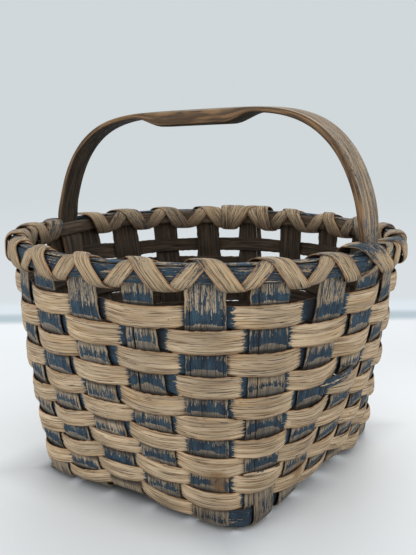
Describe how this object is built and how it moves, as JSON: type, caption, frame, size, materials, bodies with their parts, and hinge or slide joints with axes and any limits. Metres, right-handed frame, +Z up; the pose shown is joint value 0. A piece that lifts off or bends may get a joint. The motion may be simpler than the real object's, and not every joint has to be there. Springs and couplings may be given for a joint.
{
  "type": "splint basket",
  "caption": "Woven wood-splint basket with a rectangular base rising to a round lashed rim and a fixed bentwood bow handle with a carved grip.",
  "frame": {"origin": "middle of the basket's outline, on the surface that it stands on", "axes": "+Z up, +X the way the handle spans and the short way of the base, +Y the long way of the base"},
  "size_m": [0.3146, 0.314, 0.2792],
  "materials": {
    "upright_splint": "worn blue paint on bare splint",
    "weaver_splint": "mostly bare splint with worn blue paint",
    "rim_wood": "worn blue paint",
    "lashing_splint": "bare splint with flecks of blue paint",
    "handle_wood": "smooth worn wood with traces of blue paint"
  },
  "bodies": {
    "root": {"long_strip_1": "upright_splint", "long_strip_2": "upright_splint", "long_strip_3": "upright_splint", "long_strip_4": "upright_splint", "long_strip_5": "upright_splint", "cross_strip_1": "upright_splint", "cross_strip_2": "upright_splint", "cross_strip_3": "upright_splint", "cross_strip_4": "upright_splint", "cross_strip_5": "upright_splint", "cross_strip_6": "upright_splint", "weaver_1": "weaver_splint", "weaver_2": "weaver_splint", "weaver_3": "weaver_splint", "weaver_4": "weaver_splint", "weaver_5": "weaver_splint", "weaver_6": "weaver_splint", "weaver_7": "weaver_splint", "weaver_8": "weaver_splint", "weaver_9": "weaver_splint", "weaver_10": "weaver_splint", "weaver_11": "weaver_splint", "rim_hoop_outer": "rim_wood", "rim_hoop_inner": "rim_wood", "rim_filler_back": "rim_wood", "rim_filler_front": "rim_wood", "lashing_under": "lashing_splint", "lashing_over": "lashing_splint", "handle": "handle_wood"}
  },
  "joints": []
}
